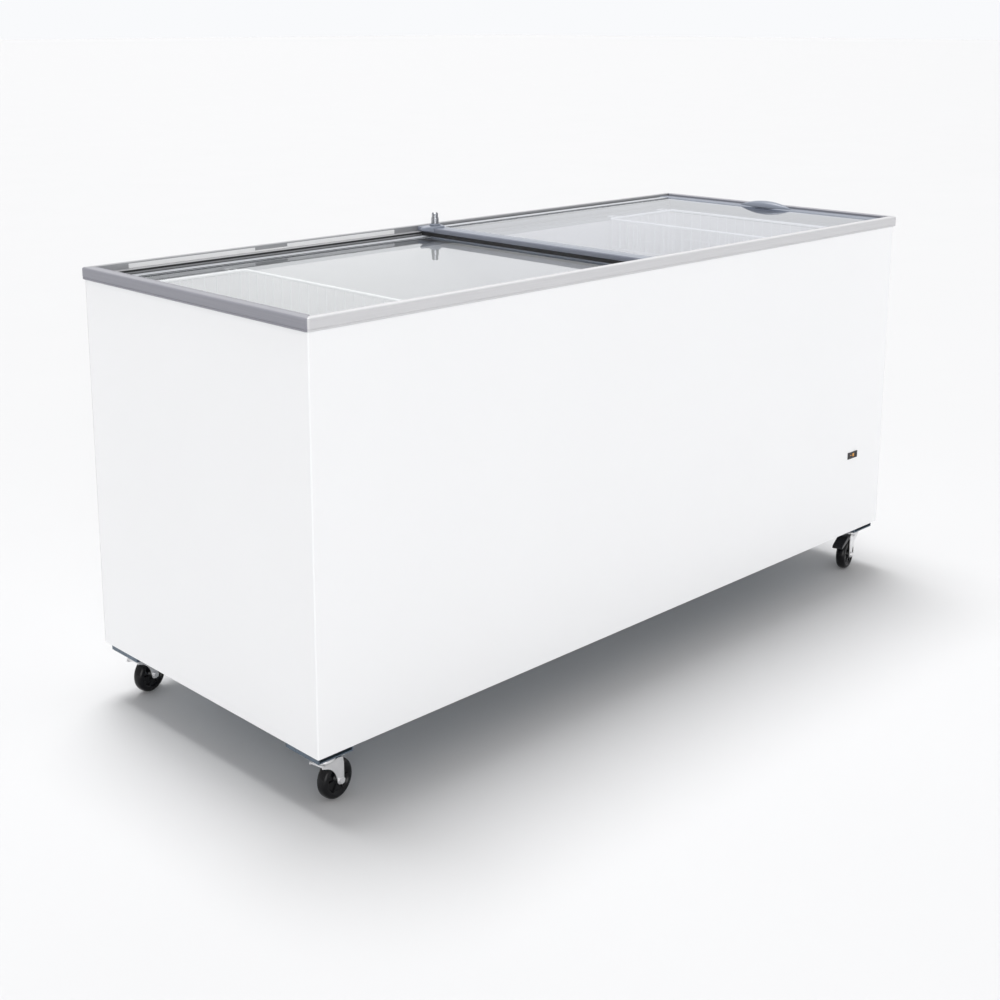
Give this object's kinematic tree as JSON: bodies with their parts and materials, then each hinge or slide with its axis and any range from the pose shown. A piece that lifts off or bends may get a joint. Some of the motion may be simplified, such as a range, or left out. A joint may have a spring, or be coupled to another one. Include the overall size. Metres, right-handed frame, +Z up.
{
  "type": "chest freezer",
  "caption": "Glass-topped display chest freezer with sliding lids on two tracks, push lock, wire baskets, machine compartment and swivel castors.",
  "frame": {"origin": "middle of the footprint, on the floor under the castors", "axes": "+X along the long front to the right, +Y from the front to the rear, +Z up"},
  "size_m": [1.78, 0.7, 0.9135],
  "materials": {
    "white_paint": "gloss white powder coat on sheet steel",
    "galvanised": "blue-grey galvanised steel sheet",
    "foam": "rigid polyurethane foam",
    "liner_white": "satin white coated aluminium",
    "copper": "copper tube",
    "white_plastic": "white low-friction plastic",
    "rubber": "black rubber",
    "satin_aluminium": "satin silver anodised aluminium",
    "grey_plastic": "satin mid grey extruded plastic",
    "slate_plastic": "satin slate grey extruded plastic",
    "clear_glass": "clear low-emissivity toughened glass",
    "chrome": "polished chrome plate",
    "black_plastic": "satin black moulded plastic",
    "display": "glossy dark display window with amber digits",
    "black_paint": "black stove enamel on steel",
    "white_wire": "white plastic-coated steel wire",
    "zinc": "bright zinc-plated pressed steel",
    "black_wheel": "semi-gloss black moulded wheel"
  },
  "bodies": {
    "cabinet": {"front_panel": "white_paint", "left_side_panel": "white_paint", "right_side_panel": "white_paint", "rear_panel": "white_paint", "base_tray": "galvanised", "foam_insulation": "foam", "inner_liner": "liner_white", "evaporator_coil": "copper", "drain_pipe": "white_plastic", "drain_plug": "rubber", "frame_rail_front": "satin_aluminium", "frame_rail_rear": "satin_aluminium", "frame_rail_left": "grey_plastic", "frame_rail_right": "grey_plastic", "front_glide_strip": "white_plastic", "rear_glide_strip": "white_plastic", "controller_body": "black_plastic", "display_lens": "display", "condenser": "black_paint", "fan_shroud": "black_paint", "fan_motor": "black_paint", "compressor_mount": "black_paint", "compressor": "black_paint", "cable_gland": "black_plastic", "front_left_caster_bracket": "galvanised", "front_left_caster_plate": "zinc", "front_right_caster_bracket": "galvanised", "front_right_caster_plate": "zinc", "rear_left_caster_bracket": "galvanised", "rear_left_caster_plate": "zinc", "rear_right_caster_bracket": "galvanised", "rear_right_caster_plate": "zinc"},
    "lower_lid": {"lower_lid_left_profile": "slate_plastic", "lower_lid_glass": "clear_glass", "lower_lid_right_profile": "slate_plastic"},
    "upper_lid": {"upper_lid_left_profile": "slate_plastic", "upper_lid_wiper_seal": "rubber", "upper_lid_glass": "clear_glass", "upper_lid_right_profile": "slate_plastic", "upper_lid_handle": "slate_plastic", "lock_barrel": "chrome"},
    "lock_plunger": {"lock_plunger": "chrome"},
    "lock_key_plug": {"lock_key_plug": "chrome"},
    "fan": {"fan_rotor": "black_plastic"},
    "left_basket": {"left_basket": "white_wire"},
    "right_basket": {"right_basket": "white_wire"},
    "front_left_swivel": {"front_left_fork": "zinc", "front_left_axle": "zinc"},
    "front_left_roller": {"front_left_wheel": "black_wheel"},
    "front_right_swivel": {"front_right_fork": "zinc", "front_right_axle": "zinc"},
    "front_right_roller": {"front_right_wheel": "black_wheel"},
    "front_right_brake": {"front_right_brake_pedal": "black_plastic"},
    "rear_left_swivel": {"rear_left_fork": "zinc", "rear_left_axle": "zinc"},
    "rear_left_roller": {"rear_left_wheel": "black_wheel"},
    "rear_right_swivel": {"rear_right_fork": "zinc", "rear_right_axle": "zinc"},
    "rear_right_roller": {"rear_right_wheel": "black_wheel"},
    "rear_right_brake": {"rear_right_brake_pedal": "black_plastic"}
  },
  "joints": [
    {"name": "lower_lid_slide", "type": "slide", "parent": "cabinet", "child": "lower_lid", "axis": [1, 0, 0], "range_m": [0, 0.87]},
    {"name": "upper_lid_slide", "type": "slide", "parent": "cabinet", "child": "upper_lid", "axis": [-1, 0, 0], "range_m": [0, 0.79]},
    {"name": "lock_push", "type": "slide", "parent": "upper_lid", "child": "lock_plunger", "axis": [0, 0, -1], "range_m": [0, 0.01], "stiffness_N_per_m": 300, "springref_m": -0.005},
    {"name": "lock_key_turn", "type": "hinge", "parent": "lock_plunger", "child": "lock_key_plug", "pos_m": [-0.028, 0.288, 0.905], "axis": [0, 0, 1], "range_deg": [0, 90]},
    {"name": "fan_spin", "type": "hinge", "parent": "cabinet", "child": "fan", "pos_m": [0.797, -0.125, 0.245], "axis": [1, 0, 0], "continuous": true},
    {"name": "left_basket_slide", "type": "slide", "parent": "cabinet", "child": "left_basket", "axis": [1, 0, 0], "range_m": [0, 0.5]},
    {"name": "right_basket_slide", "type": "slide", "parent": "cabinet", "child": "right_basket", "axis": [-1, 0, 0], "range_m": [0, 0.5]},
    {"name": "front_left_swivel_turn", "type": "hinge", "parent": "cabinet", "child": "front_left_swivel", "pos_m": [-0.838, -0.298, 0.098], "axis": [0, 0, 1], "continuous": true},
    {"name": "front_left_wheel_roll", "type": "hinge", "parent": "front_left_swivel", "child": "front_left_roller", "pos_m": [-0.81034, -0.29362, 0.0375], "axis": [-0.1564, 0.9877, 0], "continuous": true},
    {"name": "front_right_swivel_turn", "type": "hinge", "parent": "cabinet", "child": "front_right_swivel", "pos_m": [0.838, -0.298, 0.098], "axis": [0, 0, 1], "continuous": true},
    {"name": "front_right_wheel_roll", "type": "hinge", "parent": "front_right_swivel", "child": "front_right_roller", "pos_m": [0.81068, -0.30416, 0.0375], "axis": [0.2198, -0.9755, 0], "continuous": true},
    {"name": "front_right_brake_press", "type": "hinge", "parent": "front_right_swivel", "child": "front_right_brake", "pos_m": [0.81068, -0.30416, 0.0825], "axis": [0.2198, -0.9755, 0], "range_deg": [0, 8]},
    {"name": "rear_left_swivel_turn", "type": "hinge", "parent": "cabinet", "child": "rear_left_swivel", "pos_m": [-0.838, 0.298, 0.098], "axis": [0, 0, 1], "continuous": true},
    {"name": "rear_left_wheel_roll", "type": "hinge", "parent": "rear_left_swivel", "child": "rear_left_roller", "pos_m": [-0.81095, 0.30525, 0.0375], "axis": [-0.2588, 0.9659, 0], "continuous": true},
    {"name": "rear_right_swivel_turn", "type": "hinge", "parent": "cabinet", "child": "rear_right_swivel", "pos_m": [0.838, 0.298, 0.098], "axis": [0, 0, 1], "continuous": true},
    {"name": "rear_right_wheel_roll", "type": "hinge", "parent": "rear_right_swivel", "child": "rear_right_roller", "pos_m": [0.81061, 0.30382, 0.0375], "axis": [-0.2079, -0.9781, 0], "continuous": true},
    {"name": "rear_right_brake_press", "type": "hinge", "parent": "rear_right_swivel", "child": "rear_right_brake", "pos_m": [0.81061, 0.30382, 0.0825], "axis": [-0.2079, -0.9781, 0], "range_deg": [0, 8]}
  ]
}
